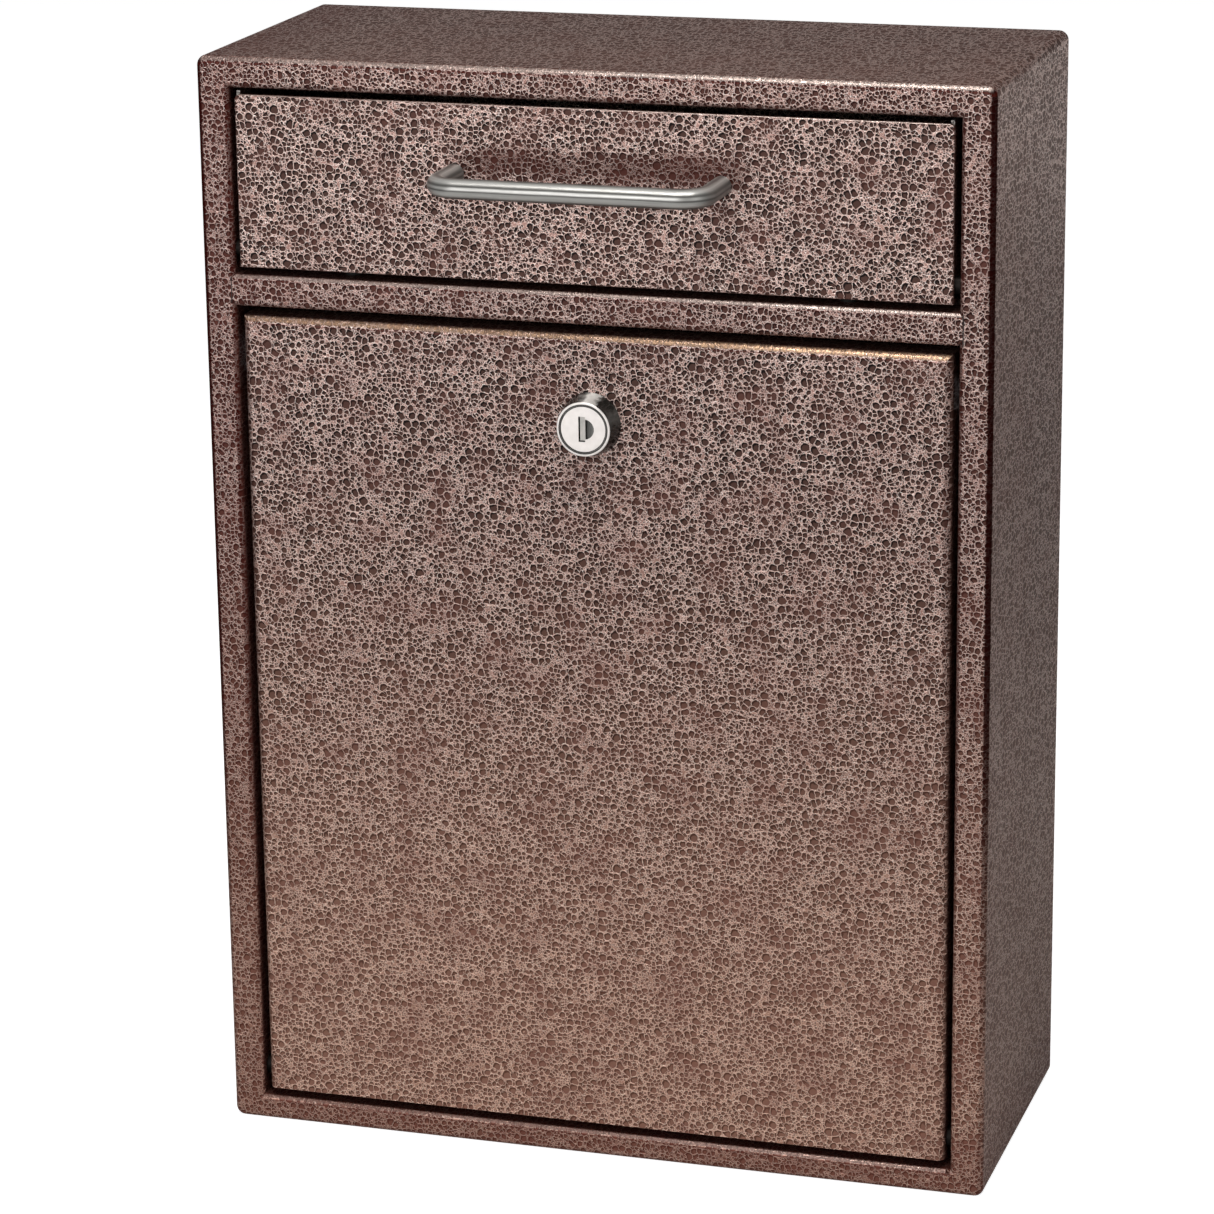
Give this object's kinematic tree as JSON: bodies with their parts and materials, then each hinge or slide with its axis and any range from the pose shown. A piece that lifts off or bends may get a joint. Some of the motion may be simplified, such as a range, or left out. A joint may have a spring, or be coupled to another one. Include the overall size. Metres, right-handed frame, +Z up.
{
  "type": "drop box",
  "caption": "Wall-hung steel deposit box: a tilt-out hopper with a wire pull handle over a bottom-hinged access door that a cam lock closes.",
  "frame": {"origin": "middle of the flat underside that the cabinet stands on, halfway through its depth", "axes": "+Z up, -Y is the front with the hopper and the door, +Y is the wall side, +X is to the right seen from the front"},
  "size_m": [0.286, 0.1502, 0.4],
  "materials": {
    "hammertone_paint": "copper hammertone powder coat",
    "zinc_plate": "zinc-plated",
    "spring_steel": "oiled black",
    "aluminium_rivet": "satin",
    "brushed_stainless": "brushed along the wire",
    "nickel": "bright nickel plate",
    "brass": "stamped",
    "rubber": "matt"
  },
  "bodies": {
    "cabinet": {"cabinet_body": "hammertone_paint", "back_panel": "hammertone_paint", "back_bars": "hammertone_paint", "middle_rail": "hammertone_paint", "lock_strike": "zinc_plate", "baffle": "hammertone_paint", "door_stop_left": "zinc_plate", "door_stop_right": "zinc_plate", "rail_bumpers": "rubber", "hopper_pin_left": "zinc_plate", "hopper_pin_right": "zinc_plate", "door_pin_left": "zinc_plate", "door_pin_right": "zinc_plate", "retaining_clips": "spring_steel", "spacer_washers": "zinc_plate"},
    "hopper": {"hopper_front": "hammertone_paint", "hopper_cheek_left": "hammertone_paint", "hopper_cheek_right": "hammertone_paint", "hopper_chute": "hammertone_paint", "chute_rivets": "aluminium_rivet", "handle": "brushed_stainless", "handle_screws": "zinc_plate"},
    "door": {"door_panel": "hammertone_paint", "lock_plate": "zinc_plate", "lock_housing": "nickel", "lock_nut": "zinc_plate"},
    "lock": {"lock_plug": "nickel", "lock_wafers": "brass", "stop_disc": "zinc_plate", "lock_cam": "zinc_plate", "cam_washer": "zinc_plate", "cam_bolt": "zinc_plate"}
  },
  "joints": [
    {"name": "hopper_tilt", "type": "hinge", "parent": "cabinet", "child": "hopper", "pos_m": [0, -0.0552, 0.3312], "axis": [1, 0, 0], "range_deg": [0, 50]},
    {"name": "door_swing", "type": "hinge", "parent": "cabinet", "child": "door", "pos_m": [0, -0.0532, 0.0197], "axis": [1, 0, 0], "range_deg": [0, 90]},
    {"name": "lock_turn", "type": "hinge", "parent": "door", "child": "lock", "pos_m": [0, -0.05, 0.276], "axis": [0, 1, 0], "range_deg": [0, 90]}
  ]
}
